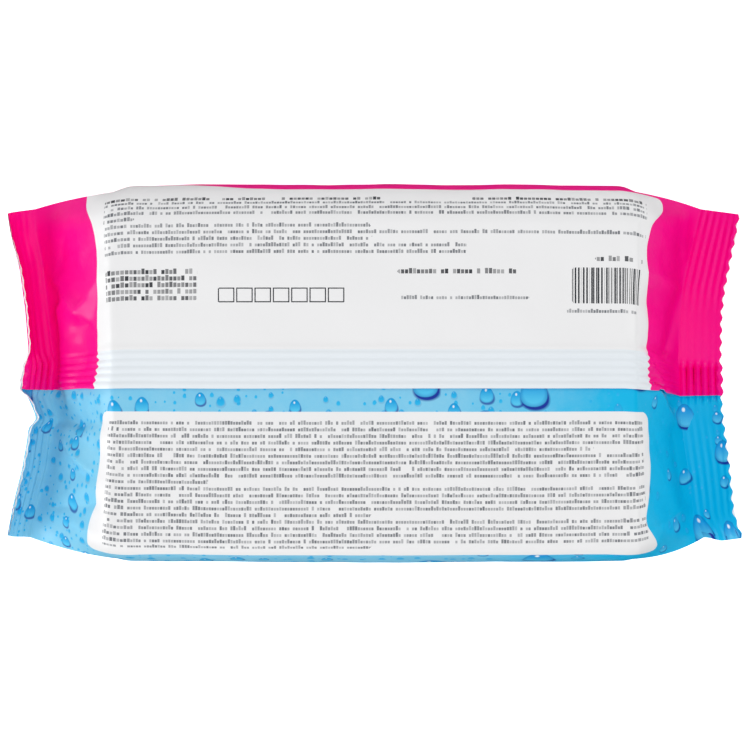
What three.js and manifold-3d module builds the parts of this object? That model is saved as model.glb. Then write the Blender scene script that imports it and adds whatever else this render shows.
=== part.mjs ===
// A flow-wrapped pack of wet wipes, lying on its front face with its back up.
// The film is one sheet: it is rolled into a tube round the stack of wipes, joined along the
// back by a crimped fin that is folded flat, and closed at both ends by crimped seals. The sides
// of the tube are tucked in between the back and the front film before each end is sealed.
// Millimetres, +X along the pack, +Y towards the pink side, +Z up through the back face.
import * as THREE from "three";
import { mergeVertices } from "three/addons/utils/BufferGeometryUtils.js";
import Module from "manifold-3d";

const wasm = await Module();
wasm.setup();

// The filled middle of the pack
const packWidth = 113.6;
const packHeight = 54;
const flatHalfLength = 71;
const backSwell = 1.3;
const pinkShoulder = 13;
const blueShoulder = 8;
const shoulderFullness = 2.1;
const slopeRounding = 0.5;
const edgeHold = 0.2;
const narrowingDelay = 1.4;
const bowSharpness = 1.7;

// The end seals
const sealHeight = 26;
const sealHalfWidth = 49;
const sealTipNarrowing = 2;
const sealBand = 13;
const sealThickness = 1;
const crimpPitch = 2.1;
const crimpDepth = 0.7;
const toothPitch = 3.8;
const toothDepth = 0.9;
const sealRootOverlap = 2;
const sealWaveHeight = 1.1;
const sealWaveLength = 13;
const finCrimpGain = 0.5;

// The tuck of each side between the back and the front film
const tuckDepth = 27;
const tuckMouth = 15;
const tuckStart = 0.05;
const tuckTaper = 0.85;
const filmGapAtSeal = 0.3;

// The fin along the back
const finRoot = 6.6;
const finWidth = 11;
const finThickness = 0.8;
const finCrimpPitch = 2;
const finCrimpDepth = 0.5;
const finEdgeLift = 0.7;
const finSink = 0.6;
const finPressing = 6;

// The printed fields
const panelShare = 0.5;
const upperPanelTop = 54.2;
const lowerPanelTop = -10.1;
const lowerPanelBottom = -51.6;
const frontBorderY = -4;
const ink = { pink: 0xf0148c, blue: 0x2ba6e0, white: 0xeef0f2 };

// Mesh fineness
const acrossStep = 4.6;
const alongStep = 18;
const shoulderSteps = 7;
const tuckSteps = 5;
const slopeSteps = 10;
const sealAcrossStep = 6.5;
const finSlopeStep = 2.5;
const finUndersideSteps = 3;
const normalStep = 0.4;
const finestDetail = 0.02;

// The two ends differ: the right seal lies out flat, the left one has curled up and stands on
// edge. reach is the run from the flat back to the seal's root. pinkBow and blueBow are how much
// further out the root lies at the seal's two corners. lean is the seal's slope at its root,
// cornerLean is what its corners slope more, and curl is how far it turns up from its root to its
// cut edge, less where the fin stiffens it. Angles are in degrees. A fold runs between two places
// given as [distance out, y].
const ends = [
  {
    side: 1,
    reach: 19.3,
    pinkBow: 6.8,
    blueBow: 6.8,
    lean: 4,
    cornerLean: 24,
    curl: 12,
    finStiffness: 0.2,
    folds: [
      { from: [82, 14], to: [93, 26], height: 1.5, width: 4 },
      { from: [91, 31], to: [92, 12], height: -1.5, width: 4 },
      { from: [85, 2], to: [91, 18], height: -1.4, width: 3.5 },
      { from: [82, -5], to: [92, -19], height: 1.4, width: 3 },
      { from: [86, -24], to: [91, -42], height: -1.2, width: 5 },
    ],
  },
  {
    side: -1,
    reach: 25.5,
    pinkBow: 6.4,
    blueBow: 7,
    lean: 8,
    cornerLean: 0,
    curl: 112,
    finStiffness: 0.3,
    folds: [
      { from: [97, 31], to: [87.5, 18], height: 1.7, width: 5 },
      { from: [98, 26], to: [94, 4], height: -1.3, width: 4 },
      { from: [95, -12], to: [87, -16], height: -1.5, width: 3.5 },
      { from: [96, -17], to: [85, -28], height: 1.4, width: 4.5 },
      { from: [82, -38], to: [95, -40], height: -1.2, width: 5 },
    ],
  },
];

const middleHeight = packHeight / 2;
const halfWidth = packWidth / 2;
const finFreeEdge = finRoot - finWidth;
const foldZ = middleHeight + tuckMouth;

const rad = THREE.MathUtils.degToRad;
const { lerp, smoothstep, clamp } = THREE.MathUtils;

/** Numbers from the first break to the last, with every break kept and steps no longer than step. */
function spread(breaks, step) {
  const out = [breaks[0]];
  for (let i = 1; i < breaks.length; i++) {
    const span = breaks[i] - breaks[i - 1];
    const count = Math.max(1, Math.round(Math.abs(span) / step));
    for (let k = 1; k <= count; k++) out.push(breaks[i - 1] + (span * k) / count);
  }
  return out;
}

/** Height that the creases of one end add to the film at (reach, y), measured outwards. */
function creaseHeight(end, reach, y) {
  let height = 0;
  for (const fold of end.folds) {
    const [ax, ay] = fold.from;
    const [bx, by] = fold.to;
    const length = Math.hypot(bx - ax, by - ay);
    const along = ((reach - ax) * (bx - ax) + (y - ay) * (by - ay)) / length;
    const off = Math.abs((reach - ax) * (by - ay) - (y - ay) * (bx - ax)) / length;
    const beyond = Math.max(0, -along, along - length);
    const distance = Math.hypot(off, beyond) / fold.width;
    height += fold.height * Math.max(0, 1 - distance);
  }
  return height;
}

/** How far the seal's corners lie out beyond its middle, as a share from 0 to 1. */
const bowShare = (y) => Math.pow(Math.abs(y) / sealHalfWidth, bowSharpness);

/** Distance from the flat back's end to the seal's root, at y. */
function slopeRun(end, y) {
  const bow = y > 0 ? end.pinkBow : end.blueBow;
  return end.reach + bow * bowShare(Math.min(Math.abs(y), halfWidth));
}

/** Slow rise and fall of the seal's root along its length. */
const sealWave = (end, y) =>
  end.side * sealWaveHeight * Math.sin(y / sealWaveLength + end.side) * (1 - bowShare(y) / 2);

/** Height of the seal's root line at y. */
const rootHeight = (end, y) => sealHeight + sealWave(end, y);

/** Half width of the pack at a share of the slope, 0 at the flat back and 1 at the seal. */
const halfWidthAt = (share) => lerp(halfWidth, sealHalfWidth, Math.pow(share, narrowingDelay));

/** The corner of the middle section: its outer half width for a height above the table. */
function sideY(z, shoulder) {
  const rise = clamp(Math.abs(z - middleHeight) / middleHeight, 0, 1);
  const bulge = Math.pow(1 - Math.pow(rise, shoulderFullness), 1 / shoulderFullness);
  return halfWidth - shoulder + shoulder * bulge;
}

/** Heights of a shoulder's points, from the fold line of the tuck up to the back face. */
const shoulderHeights = Array.from({ length: shoulderSteps + 1 }, (_, i) =>
  lerp(foldZ, packHeight, Math.sin(((i / shoulderSteps) * Math.PI) / 2)),
);

/** Heights of a tuck's points, from the middle of the side up to its fold line. */
const tuckHeights = spread([middleHeight, foldZ], tuckMouth / tuckSteps);

/**
 * The section of the filled middle, as its upper and its lower half of [y, z] points. Each half
 * starts and ends in the middle of a side: the upper runs from the pink side over the back to
 * the blue side, the lower runs back under the front.
 */
function middleSection() {
  const pinkFlat = halfWidth - pinkShoulder;
  const blueFlat = halfWidth - blueShoulder;
  const backBreaks = [pinkFlat, finRoot, finFreeEdge, lowerPanelTop, -blueFlat];
  const back = spread(backBreaks, acrossStep).map((y) => [y, packHeight]);
  const front = spread([-blueFlat, frontBorderY, pinkFlat], acrossStep).map((y) => [y, 0]);
  const rising = [...tuckHeights, ...shoulderHeights.slice(1, -1)];
  const pinkSide = rising.map((z) => [sideY(z, pinkShoulder), z]);
  const blueSide = rising.map((z) => [-sideY(z, blueShoulder), z]);
  const below = (side) => side.map(([y, z]) => [y, packHeight - z]);
  return {
    upper: [...pinkSide, ...back, ...blueSide.toReversed()],
    lower: [...below(blueSide), ...front, ...below(pinkSide).toReversed()],
  };
}

/** A point of the filled middle, whose back swells a little between its edges. */
function middlePoint(x, [y, z]) {
  const across = Math.max(0, 1 - (y / halfWidth) ** 2);
  const along = 1 - (x / flatHalfLength) ** 2;
  const height = clamp((z - foldZ) / (packHeight - foldZ), 0, 1);
  return new THREE.Vector3(x, y, z + backSwell * height * across * along);
}

/** How far the film has come down at a share of the slope: a ramp with rounded ends. */
function dropAt(share) {
  const ramp = clamp((share - edgeHold) / (1 - edgeHold), 0, 1);
  return lerp(ramp, smoothstep(ramp, 0, 1), slopeRounding);
}

/** Where a point of the middle section goes at a share of one end's slope. */
function slopePoint(end, share, [y0, z0]) {
  const up = z0 >= middleHeight ? 1 : -1;
  const height = Math.abs(z0 - middleHeight);
  const drop = dropAt(share);
  const mouth = lerp(tuckMouth, filmGapAtSeal / 2, smoothstep(share, 0, 1));
  const reachHeight = Math.max(mouth, lerp(middleHeight, sealThickness / 3, drop));
  const inward = Math.max(0, 1 - height / tuckMouth);
  const depth = tuckDepth * smoothstep(share, tuckStart, 1) * Math.pow(inward, tuckTaper);
  const y = (y0 * halfWidthAt(share)) / halfWidth - Math.sign(y0) * depth;
  const reach = flatHalfLength + slopeRun(end, y) * share;
  const centre = lerp(middleHeight, rootHeight(end, y), drop);
  if (inward > 0) return new THREE.Vector3(end.side * reach, y, centre + up * mouth * (1 - inward));
  const rise = (height - tuckMouth) / (middleHeight - tuckMouth);
  const crease = creaseHeight(end, reach, up * y) * rise * Math.sin(Math.PI * share);
  const z = centre + up * (mouth + (reachHeight - mouth) * rise + crease);
  return new THREE.Vector3(end.side * reach, y, z);
}

/** Crimp wave of a band, from -1 in a valley to 1 on a ridge, at a distance from its start. */
function crimpWave(distance, band, pitch) {
  const count = Math.max(1, Math.round(band / pitch));
  const phase = (distance / band) * count;
  return distance < 0 || distance > band ? 0 : 1 - 4 * Math.abs((phase % 1) - 0.5);
}

/** How much of the fin's stiffness acts on the seal at y, from 0 to 1. */
function finShare(y) {
  const fade = finWidth / 2;
  return (
    smoothstep(y, finFreeEdge - fade, finFreeEdge) * (1 - smoothstep(y, finRoot, finRoot + fade))
  );
}

/** Middle of the seal's thickness, and the way up out of it, at a distance from its root. */
function sealPlace(end, distance, y) {
  const start = rad(end.lean + end.cornerLean * bowShare(y));
  const turn = rad(end.curl * (1 - end.finStiffness * finShare(y)));
  const radius = sealBand / turn;
  const bent = Math.max(0, distance);
  const angle = start + bent / radius;
  const out = (Math.sin(angle) - Math.sin(start)) * radius;
  const rise = (Math.cos(start) - Math.cos(angle)) * radius;
  const narrowing = 1 - (sealTipNarrowing / sealHalfWidth) * (bent / sealBand);
  const reach = flatHalfLength + slopeRun(end, y) + out + Math.min(0, distance);
  return {
    point: new THREE.Vector3(end.side * reach, y * narrowing, rootHeight(end, y) + rise),
    normal: new THREE.Vector3(-end.side * Math.sin(angle), 0, Math.cos(angle)),
  };
}

/** A point of the seal's upper or lower skin, with its crimps. face is 1 above and -1 below. */
function sealPoint(end, distance, y, face) {
  const { point, normal } = sealPlace(end, distance, y);
  const deeper = 1 + finCrimpGain * finShare(y);
  const wave = (crimpWave(distance, sealBand, crimpPitch) * crimpDepth * deeper) / 2;
  return point.addScaledVector(normal, wave + (face * sealThickness) / 2);
}

/** The back film's surface: a point of it at a signed length along the pack and at y. */
function backPoint(length, y) {
  const far = Math.abs(length) - flatHalfLength;
  if (far <= 0) return middlePoint(length, [y, packHeight]);
  const end = ends.find((one) => one.side === Math.sign(length));
  const run = end.reach;
  if (far <= run) return slopePoint(end, far / run, [y, packHeight]);
  return sealPoint(end, far - run, (y * sealHalfWidth) / halfWidth, 1);
}

/** The way out of the back film at a place on it. */
function backNormal(length, y) {
  const along = backPoint(length + normalStep, y).sub(backPoint(length - normalStep, y));
  const across = backPoint(length, y + normalStep).sub(backPoint(length, y - normalStep));
  return along.cross(across).normalize();
}

/** Collects triangles and turns them into a solid. */
class Skin {
  positions = [];

  triangle(a, b, c) {
    if (a.equals(b) || b.equals(c) || c.equals(a)) return;
    for (const p of [a, b, c]) this.positions.push(p.x, p.y, p.z);
  }

  /** Joins two rows of points that run side by side, matched by how far along each point is. */
  stitch(near, far, place = (row, i) => i / (row.length - 1)) {
    let i = 0;
    let j = 0;
    while (i < near.length - 1 || j < far.length - 1) {
      const farIsDone = j >= far.length - 1;
      const nearIsBehind = i < near.length - 1 && place(near, i + 1) <= place(far, j + 1);
      if (farIsDone || nearIsBehind) {
        this.triangle(near[i], near[i + 1], far[j]);
        i += 1;
      } else {
        this.triangle(near[i], far[j + 1], far[j]);
        j += 1;
      }
    }
  }

  /** Joins closed rings of one length, one after another. */
  loft(rings) {
    for (let r = 1; r < rings.length; r++) {
      const near = [...rings[r - 1], rings[r - 1][0]];
      const far = [...rings[r], rings[r][0]];
      this.stitch(near, far);
    }
  }

  solid() {
    const raw = new THREE.BufferGeometry();
    raw.setAttribute("position", new THREE.Float32BufferAttribute(this.positions, 3));
    const merged = mergeVertices(raw, 1e-4);
    const vertProperties = merged.attributes.position.array;
    const triVerts = new Uint32Array(merged.index.array);
    const made = new wasm.Manifold(new wasm.Mesh({ numProp: 3, vertProperties, triVerts }));
    if (made.volume() > 0) return made;
    for (let i = 0; i < triVerts.length; i += 3) {
      [triVerts[i + 1], triVerts[i + 2]] = [triVerts[i + 2], triVerts[i + 1]];
    }
    return new wasm.Manifold(new wasm.Mesh({ numProp: 3, vertProperties, triVerts }));
  }
}

/**
 * Closes half of the section where it meets a seal: the film's outline on one side, the two
 * tucks and the line between their tips on the other.
 */
function closeHalf(skin, half, isFirst) {
  const fold = tuckHeights.length - 1;
  const otherFold = half.length - 1 - fold;
  const film = half.slice(fold, otherFold + 1);
  const tucks = [...half.slice(0, fold + 1).reverse(), ...half.slice(otherFold).reverse()];
  const across = (row, i) => Math.sign(row[row.length - 1].y - row[0].y) * row[i].y;
  if (isFirst) skin.stitch(tucks, film, across);
  else skin.stitch(film, tucks, across);
}

/** The film round the stack of wipes, from one seal's root to the other's. */
function filledBody() {
  const { upper, lower } = middleSection();
  const slopeShares = spread([0, panelShare, 1], 1 / slopeSteps).slice(1);
  const ringOf = (place) => [...upper.map(place), ...lower.slice(1, -1).map(place)];
  const slopeRings = (end) =>
    slopeShares.map((share) => ringOf((point) => slopePoint(end, share, point)));
  const middleRings = spread([-flatHalfLength, flatHalfLength], alongStep).map((x) =>
    ringOf((point) => middlePoint(x, point)),
  );
  const [right, left] = ends;
  const rings = [...slopeRings(left).reverse(), ...middleRings, ...slopeRings(right)];
  const skin = new Skin();
  skin.loft(rings);
  for (const isFirst of [true, false]) {
    const ring = rings.at(isFirst ? 0 : -1);
    closeHalf(skin, ring.slice(0, upper.length), isFirst);
    closeHalf(skin, [...ring.slice(upper.length - 1), ring[0]], isFirst);
  }
  return skin.solid();
}

const crimpCount = Math.max(1, Math.round(sealBand / crimpPitch));
const halfCrimp = sealBand / crimpCount / 2;

/** Rows of a seal from its root to its cut edge, each with its ys and its distances out. */
function sealRows() {
  const teeth = Math.round((2 * sealHalfWidth) / toothPitch);
  const plainYs = spread([-sealHalfWidth, sealHalfWidth], sealAcrossStep);
  const toothYs = spread([-sealHalfWidth, sealHalfWidth], sealHalfWidth / teeth);
  const distances = spread([-sealRootOverlap, 0, sealBand - halfCrimp], halfCrimp);
  const rows = distances.map((distance) => ({ ys: plainYs, distanceAt: () => distance }));
  rows.push({ ys: toothYs, distanceAt: (i) => sealBand + (i % 2 ? 0 : -toothDepth) });
  return rows;
}

/** One crimped end seal, with a saw-toothed cut edge. */
function endSeal(end) {
  const facesOf = (row) =>
    [1, -1].map((face) => row.ys.map((y, i) => sealPoint(end, row.distanceAt(i), y, face)));
  const rows = sealRows().map(facesOf);
  const skin = new Skin();
  for (let r = 1; r < rows.length; r++) {
    const [upperNear, lowerNear] = rows[r - 1];
    const [upperFar, lowerFar] = rows[r];
    skin.stitch(upperNear, upperFar);
    skin.stitch(lowerFar, lowerNear);
    skin.stitch([upperNear[0], upperFar[0]], [lowerNear[0], lowerFar[0]]);
    skin.stitch([upperFar.at(-1), upperNear.at(-1)], [lowerFar.at(-1), lowerNear.at(-1)]);
  }
  const [rootUpper, rootLower] = rows[0];
  const [tipUpper, tipLower] = rows.at(-1);
  skin.stitch(rootLower, rootUpper);
  skin.stitch(tipUpper, tipLower);
  return skin.solid();
}

/** Signed lengths along the pack at which the fin has a section, from the left to the right. */
function finLengths() {
  const bandStart = (end) => flatHalfLength + end.reach;
  const lengthsOf = (end) => [
    ...spread([flatHalfLength, bandStart(end)], finSlopeStep),
    ...spread([bandStart(end), bandStart(end) + sealBand], halfCrimp).slice(1),
  ];
  const [right, left] = ends;
  return [
    ...lengthsOf(left).reverse().map((length) => -length),
    ...spread([-flatHalfLength, flatHalfLength], alongStep).slice(1, -1),
    ...lengthsOf(right),
  ];
}

/** How much of the fin's own crimp is left at a length: the end seals press it out. */
function finCrimpShare(length) {
  const end = length > 0 ? ends[0] : ends[1];
  const bandStart = flatHalfLength + end.reach;
  return 1 - smoothstep(Math.abs(length), bandStart - finPressing, bandStart);
}

/** How far the fin's free edge stands off the back: the end seals press it into their film. */
const finEdgeAt = (length) => lerp(-finSink / 2, finEdgeLift, finCrimpShare(length));

/** The fin: the tube's long seam, crimped and folded flat on the back from seal to seal. */
function finSeam() {
  const crimps = Math.max(1, Math.round(finWidth / finCrimpPitch));
  const upperShares = spread([0, 1], 1 / (2 * crimps));
  const lowerShares = spread([1, 0], 1 / finUndersideSteps);
  const row = (length, shares, liftAt) =>
    shares.map((share) => {
      const y = finRoot - finWidth * share;
      return backPoint(length, y).addScaledVector(backNormal(length, y), liftAt(share));
    });
  const upper = (length) =>
    row(length, upperShares, (share) => {
      const wave = crimpWave(finWidth * share, finWidth, finCrimpPitch) * finCrimpShare(length);
      return finThickness + finEdgeAt(length) * share * share + (wave * finCrimpDepth) / 2;
    });
  const lower = (length) =>
    row(length, lowerShares, (share) => (finEdgeAt(length) + finSink) * share * share - finSink);
  const lengths = finLengths();
  const skin = new Skin();
  skin.loft(lengths.map((length) => [...upper(length), ...lower(length)]));
  skin.stitch(lower(lengths[0]).reverse(), upper(lengths[0]));
  skin.stitch(upper(lengths.at(-1)), lower(lengths.at(-1)).reverse());
  return skin.solid();
}

/** The printed colour at a place on the pack's outside. */
function printedColour({ x, y, z }) {
  const end = x > 0 ? ends[0] : ends[1];
  const share = (Math.abs(x) - flatHalfLength) / slopeRun(end, y);
  const onBack = z > middleHeight;
  const alongPanels = share < panelShare && onBack;
  if (alongPanels && y > finFreeEdge && y < upperPanelTop) return ink.white;
  if (alongPanels && y < lowerPanelTop && y > lowerPanelBottom) return ink.white;
  const border = onBack ? finFreeEdge : frontBorderY;
  return y > border ? ink.pink : ink.blue;
}

/** A manifold solid as a geometry with one printed colour to a face. */
function toGeometry(solid) {
  const mesh = solid.getMesh();
  const indexed = new THREE.BufferGeometry();
  indexed.setAttribute("position", new THREE.BufferAttribute(mesh.vertProperties, 3));
  indexed.setIndex(new THREE.BufferAttribute(mesh.triVerts, 1));
  const geometry = indexed.toNonIndexed();
  const place = geometry.attributes.position;
  const colours = [];
  const [a, b, c] = [new THREE.Vector3(), new THREE.Vector3(), new THREE.Vector3()];
  for (let i = 0; i < place.count; i += 3) {
    [a, b, c].forEach((corner, k) => corner.fromBufferAttribute(place, i + k));
    const colour = new THREE.Color(printedColour(a.add(b).add(c).divideScalar(3)));
    for (let k = 0; k < 3; k++) colours.push(colour.r, colour.g, colour.b);
  }
  geometry.setAttribute("color", new THREE.Float32BufferAttribute(colours, 3));
  geometry.computeVertexNormals();
  return geometry;
}

/** The outer skin of a solid, with any pocket left between its overlapping pieces filled. */
function outerSkin(solid) {
  const skins = solid.decompose();
  return skins.reduce((outer, skin) => (skin.volume() > outer.volume() ? skin : outer));
}

const pieces = [filledBody(), ...ends.map(endSeal), finSeam()];
const joined = pieces.reduce((solid, piece) => solid.add(piece)).asOriginal();
const pack = outerSkin(joined.simplify(finestDetail));

const packGeometry = toGeometry(pack);
packGeometry.computeBoundingBox();
const footprint = packGeometry.boundingBox.getCenter(new THREE.Vector3());
packGeometry.translate(-footprint.x, -footprint.y, -packGeometry.boundingBox.min.z);

const film = new THREE.MeshStandardMaterial({
  color: 0xffffff,
  vertexColors: true,
  roughness: 0.38,
  metalness: 0,
});

const wipesPack = new THREE.Mesh(packGeometry, film);
wipesPack.name = "wipes_pack";

const root = new THREE.Group();
root.add(wipesPack);
export default root;
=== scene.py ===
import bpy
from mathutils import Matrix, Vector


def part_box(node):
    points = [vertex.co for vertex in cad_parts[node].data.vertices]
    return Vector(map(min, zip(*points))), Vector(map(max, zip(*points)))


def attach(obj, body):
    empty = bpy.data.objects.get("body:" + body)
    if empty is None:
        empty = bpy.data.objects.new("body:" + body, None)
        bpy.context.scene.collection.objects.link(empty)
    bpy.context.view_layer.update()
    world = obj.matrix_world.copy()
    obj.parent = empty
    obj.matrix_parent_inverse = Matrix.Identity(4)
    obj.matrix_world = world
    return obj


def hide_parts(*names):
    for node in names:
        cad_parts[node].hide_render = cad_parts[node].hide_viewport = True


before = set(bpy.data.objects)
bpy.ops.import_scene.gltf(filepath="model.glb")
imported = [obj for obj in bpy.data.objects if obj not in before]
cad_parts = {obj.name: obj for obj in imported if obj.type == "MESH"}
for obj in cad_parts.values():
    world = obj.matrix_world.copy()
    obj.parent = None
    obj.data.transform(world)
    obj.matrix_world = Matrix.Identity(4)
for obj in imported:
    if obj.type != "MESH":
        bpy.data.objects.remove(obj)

"""Looks of a wet wipes pack: one printed film, formed over its stack, sealed and cut.

A flat grid stands for the sheet. It is formed into a tube round the stack, its long edges meet
in a fin that is folded flat on the back, its sides are tucked in at the ends, and each end is
crimped and cut to a saw-toothed edge. Sizes are millimetres, and Blender's meshes metres.
"""

import logging
import math
from dataclasses import dataclass, field
from enum import Enum

import bmesh
import bpy
import numpy as np

logging.basicConfig(level=logging.INFO, format="%(levelname)s %(message)s")
log = logging.getLogger("wipes_pack")

MM = 0.001
PACK_NODE = "wipes_pack"
EASING = (-0.8, -0.4, 0.0, 0.4, 0.8)
TINY = 1e-9
FILM_INSET = 1.4
Array = np.ndarray


def linear(code: str) -> tuple[float, float, float, float]:
    """Turns an sRGB hex colour into Blender's linear colour.

    Args:
        code: Six hex digits, with or without a leading hash.

    Returns:
        Linear red, green and blue, and full alpha.
    """
    levels = [int(code.lstrip("#")[i : i + 2], 16) / 255 for i in (0, 2, 4)]
    curve = [c / 12.92 if c <= 0.04045 else ((c + 0.055) / 1.055) ** 2.4 for c in levels]
    return (curve[0], curve[1], curve[2], 1.0)


def smoothstep(x: Array, low: float, high: float) -> Array:
    """Rises smoothly from 0 at low to 1 at high."""
    t = np.clip((x - low) / (high - low), 0.0, 1.0)
    return t * t * (3.0 - 2.0 * t)


def lerp(a: Array | float, b: Array | float, t: Array) -> Array:
    """Goes from a at 0 to b at 1 along a straight line."""
    return a + (b - a) * t


def travel(*coordinates: Array) -> Array:
    """Gives the distance to each point along a line, from its first point."""
    return np.append(0.0, np.cumsum(np.hypot.reduce(np.diff(coordinates))))


@dataclass(frozen=True)
class Slack:
    """The film's own unevenness: a smooth random surface made of crossing waves.

    Attributes:
        wavelength: Usual distance between two crests.
        height: Usual height of a crest.
        seed: Picks one surface among many.
    """

    wavelength: float
    height: float
    seed: int

    def lift(self, x: Array, y: Array) -> Array:
        """Gives the height at each place, less than 0 in the dips."""
        rng = np.random.default_rng(self.seed)
        waves = 14
        total = np.zeros(np.broadcast(x, y).shape)
        ranges = ((0, math.pi), (0, 2 * math.pi), (0.7, 1.7))
        for angle, phase, stretch in zip(*(rng.uniform(*span, waves) for span in ranges)):
            turn = 2 * math.pi * stretch / self.wavelength
            total += np.sin(turn * (x * math.cos(angle) + y * math.sin(angle)) + phase)
        return self.height * total / math.sqrt(waves * 2)


class Layer(Enum):
    """Which part of the film's way round the pack a point is on."""

    FIN_TOP = 0
    PINK_SIDE = 1
    FRONT = 2
    BLUE_SIDE = 3
    FIN_UNDER = 4


@dataclass(frozen=True)
class Crease:
    """A sharp ridge or valley that runs between two places of the film.

    Attributes:
        start: Distance out from the pack's middle, and y.
        end: The same for its other end.
        height: Height of the ridge, less than 0 for a valley.
        width: Reach of its flank on the left, going from start to end.
        other_width: Reach of its flank on the right.
        foot_slope: How steep its flanks still are at their feet, 1 for straight flanks.
    """

    start: tuple[float, float]
    end: tuple[float, float]
    height: float
    width: float
    other_width: float
    foot_slope: float = 0.35

    def lift(self, reach: Array, y: Array) -> Array:
        """Gives the height that this crease adds at each place."""
        (ax, ay), (bx, by) = self.start, self.end
        length = math.hypot(bx - ax, by - ay)
        along = ((reach - ax) * (bx - ax) + (y - ay) * (by - ay)) / length
        off = ((reach - ax) * (by - ay) - (y - ay) * (bx - ax)) / length
        beyond = np.maximum(0.0, np.maximum(-along, along - length))
        distance = np.hypot(off, beyond) / np.where(off > 0, self.other_width, self.width)
        tent = np.maximum(0.0, 1.0 - distance)
        return self.height * tent * lerp(self.foot_slope, 1.0, tent)


@dataclass(frozen=True)
class SealPlace:
    """The seal's shape at one place along it.

    Attributes:
        y: The place.
        reach: Run from the flat of the back to the seal's root.
        lean: Slope of the seal at its root, in degrees.
        curl: How far it turns up from its root to its cut edge, in degrees.
        crimp: Depth of its crimps, as a share of the usual depth.
    """

    y: float
    reach: float
    lean: float
    curl: float
    crimp: float


@dataclass(frozen=True)
class PackEnd:
    """One end of the pack: the slope from the stack down to the seal, and the seal.

    Attributes:
        side: 1 at +X and -1 at -X.
        span: Usual run from the flat of the back to the seal's root.
        blue_flare: How far the seal's blue corner spreads beyond the rest of that side.
        fin_sag: How far the back seam is pulled towards the blue side at the seal.
        blue_narrowing: How late the blue side narrows on the slope, 1 for evenly.
        places: The seal's shape from its blue to its pink corner.
        creases: Folds in the back film between the stack and the seal.
        slack: The unevenness of that film, broad and fine.
    """

    side: int
    span: float
    blue_flare: float
    fin_sag: float
    blue_narrowing: float
    places: tuple[SealPlace, ...]
    creases: tuple[Crease, ...]
    slack: tuple[Slack, ...]

    def at(self, size: str, y: Array) -> Array:
        """Gives one of the seal's sizes at each y, eased from place to place."""
        ys = [place.y for place in self.places]
        sizes = [getattr(place, size) for place in self.places]
        return sum(np.interp(y + shift, ys, sizes) for shift in EASING) / len(EASING)


RIGHT_END = PackEnd(
    side=1,
    span=19.6,
    blue_flare=1.7,
    fin_sag=3.4,
    blue_narrowing=2.3,
    places=(
        SealPlace(-49, 26.8, 26, 12, 0.15),
        SealPlace(-42, 23.8, 21, 12, 0.25),
        SealPlace(-28, 22.0, 13, 12, 0.3),
        SealPlace(-13, 19.8, 8, 12, 0.03),
        SealPlace(-9.4, 19.4, 6, 10, 0.06),
        SealPlace(-7.4, 19.4, 4, 9, 1.6),
        SealPlace(1.6, 19.2, 4, 9, 1.7),
        SealPlace(3.6, 19.0, 5, 10, 0.04),
        SealPlace(18, 19.4, 6, 12, 0.03),
        SealPlace(26, 20.4, 10, 12, 0.3),
        SealPlace(37, 23.0, 18, 12, 0.45),
        SealPlace(49, 26.0, 28, 12, 0.45),
    ),
    creases=(
        Crease((76, 30), (91, 24), 1.3, 5, 7),
        Crease((91, 36), (92.5, 24), -1.0, 2.0, 3.0),
        Crease((91, 22), (86.5, 7), -2.6, 2.4, 4.5),
        Crease((77, 8), (83, 6), -0.8, 2.5, 2.5),
        Crease((77, 6), (83, -2), 0.8, 1.8, 2.6),
        Crease((81.5, -5), (91.5, -16.5), 1.9, 1.8, 5),
        Crease((88, -18), (92, -38), -1.3, 3.5, 4),
        Crease((78, -46), (92, -40), 0.9, 4, 3),
        Crease((93, 46), (92, 34), 0.9, 1.4, 2.4),
    ),
    slack=(Slack(15.0, 0.45, 8), Slack(6.0, 0.14, 11)),
)

LEFT_END = PackEnd(
    side=-1,
    span=26.0,
    blue_flare=0.5,
    fin_sag=1.6,
    blue_narrowing=1.7,
    places=(
        SealPlace(-49, 32.2, 8, 112, 0.5),
        SealPlace(-42, 30.7, 8, 112, 0.8),
        SealPlace(-28, 27.1, 8, 110, 0.9),
        SealPlace(-16.4, 25.4, 8, 112, 0.8),
        SealPlace(-14.4, 23.6, 8, 116, 0.4),
        SealPlace(-12.6, 24.0, 8, 116, 0.3),
        SealPlace(-7.0, 25.9, 8, 110, 0.3),
        SealPlace(-5.4, 25.1, 8, 72, 1.3),
        SealPlace(3.0, 24.2, 8, 76, 1.2),
        SealPlace(7.0, 25.4, 8, 108, 0.5),
        SealPlace(20, 27.0, 8, 112, 0.15),
        SealPlace(32, 28.4, 8, 108, 0.15),
        SealPlace(42, 30.4, 8, 100, 0.15),
        SealPlace(49, 30.8, 8, 92, 0.15),
    ),
    creases=(
        Crease((99, 31), (86, 17.5), 1.8, 4, 8),
        Crease((86, 17.5), (80, 28), 1.2, 4, 7),
        Crease((93, 19), (92, -2), 3.4, 3.5, 8.5),
        Crease((94, 30), (92, 40), -0.8, 4, 3),
        Crease((95, -12), (87, -16), -1.5, 3.5, 3.5),
        Crease((96, -17), (84, -28), 1.5, 2.4, 5),
        Crease((82, -38), (95, -40), -1.2, 5, 5),
        Crease((98, 27), (95, 26.5), 0.8, 1.2, 1.6),
        Crease((97, 14), (94, 18), 0.8, 1.5, 3),
    ),
    slack=(Slack(15.0, 0.45, 6), Slack(6.0, 0.14, 11)),
)


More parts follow.
